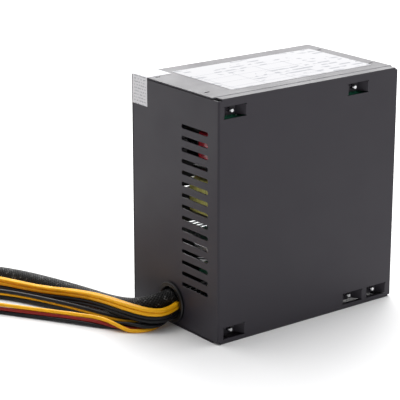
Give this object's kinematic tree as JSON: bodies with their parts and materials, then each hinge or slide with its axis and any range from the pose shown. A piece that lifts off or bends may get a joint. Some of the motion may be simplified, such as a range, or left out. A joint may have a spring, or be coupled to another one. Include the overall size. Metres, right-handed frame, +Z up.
{
  "type": "power supply unit",
  "caption": "Boxed power supply for a desktop computer: slotted steel case, internal fan, mains inlet with rocker switch, and a bundle of output cables ending in plugs.",
  "frame": {"origin": "centre of the foot of the box it stands on, at floor level; the cables lying beside it aren't counted", "axes": "+Z up, along the box's longest side; +Y from the closed tray wall to the fan wall, the box's shortest side; +X from the cable wall to the mains wall"},
  "size_m": [0.4159, 0.2004, 0.1501],
  "materials": {
    "dark_painted_steel": "matte",
    "dark_screw": "satin",
    "label": "satin",
    "black_plastic": "satin",
    "board_laminate": "satin",
    "bright_steel": "bright",
    "clear_film": "satin",
    "heatsink_aluminium": "satin",
    "black_epoxy": "matte",
    "capacitor_sleeve": "satin",
    "capacitor_sleeve_dark": "satin",
    "red_epoxy": "gloss",
    "yellow_plastic": "satin",
    "ferrite": "matte",
    "yellow_tape": "satin",
    "enamelled_wire": "gloss",
    "fuse_sleeve": "gloss",
    "thermistor_coat": "matte",
    "resistor_body": "satin",
    "lead_insulation": "satin",
    "earth_insulation": "satin",
    "black_wire": "satin",
    "white_nylon": "satin",
    "nickel_plate": "bright",
    "mesh_sleeve": "matte",
    "wire_insulation": "satin",
    "black_nylon": "satin",
    "strap_fabric": "matte"
  },
  "bodies": {
    "casing": {"base_tray": "dark_painted_steel", "top_cover": "dark_painted_steel", "cover_screws": "dark_screw", "rating_label": "label", "warranty_sticker": "label", "cable_grommet": "black_plastic", "circuit_board": "board_laminate", "board_screws": "bright_steel", "insulation_sheet": "clear_film", "primary_heatsink": "heatsink_aluminium", "secondary_heatsink": "heatsink_aluminium", "switching_transistors": "black_epoxy", "output_rectifiers": "black_epoxy", "bridge_rectifier": "black_epoxy", "bulk_capacitors": "capacitor_sleeve", "output_capacitors": "capacitor_sleeve_dark", "film_capacitor": "red_epoxy", "mains_capacitor": "yellow_plastic", "transformer_core": "ferrite", "transformer_winding": "yellow_tape", "standby_core": "ferrite", "standby_winding": "yellow_tape", "driver_transformer": "ferrite", "output_choke": "enamelled_wire", "line_choke": "enamelled_wire", "fuse": "fuse_sleeve", "thermistor": "thermistor_coat", "control_board": "board_laminate", "small_parts": "resistor_body", "internal_leads": "lead_insulation", "fan_frame": "black_plastic", "fan_stator": "enamelled_wire", "fan_grille": "black_wire", "fan_screws": "dark_screw", "fan_lead": "lead_insulation", "fan_plug": "white_nylon", "inlet_housing": "black_plastic", "inlet_pins": "nickel_plate", "inlet_screws": "bright_steel", "switch_housing": "black_plastic", "switch_terminals": "nickel_plate", "mains_leads": "lead_insulation", "earth_lead": "earth_insulation", "earth_screw": "bright_steel", "main_cable": "mesh_sleeve", "processor_cable": "wire_insulation", "sata_cable": "wire_insulation", "drive_cable": "wire_insulation", "main_fan_out": "wire_insulation", "main_plug_20_pin": "black_nylon", "main_plug_4_pin": "black_nylon", "processor_plug_front": "black_nylon", "processor_plug_rear": "black_nylon", "sata_plug": "black_nylon", "drive_plug": "black_nylon", "cable_straps": "strap_fabric"},
    "rotor": {"fan_rotor": "black_plastic"},
    "rocker": {"switch_rocker": "black_plastic"}
  },
  "joints": [
    {"name": "fan_spin", "type": "hinge", "parent": "casing", "child": "rotor", "pos_m": [0, 0.02, 0.075], "axis": [0, 1, 0], "continuous": true},
    {"name": "switch_tilt", "type": "hinge", "parent": "casing", "child": "rocker", "pos_m": [0.0682, -0.004, 0.074], "axis": [0, 1, 0], "range_deg": [0, 18]}
  ]
}
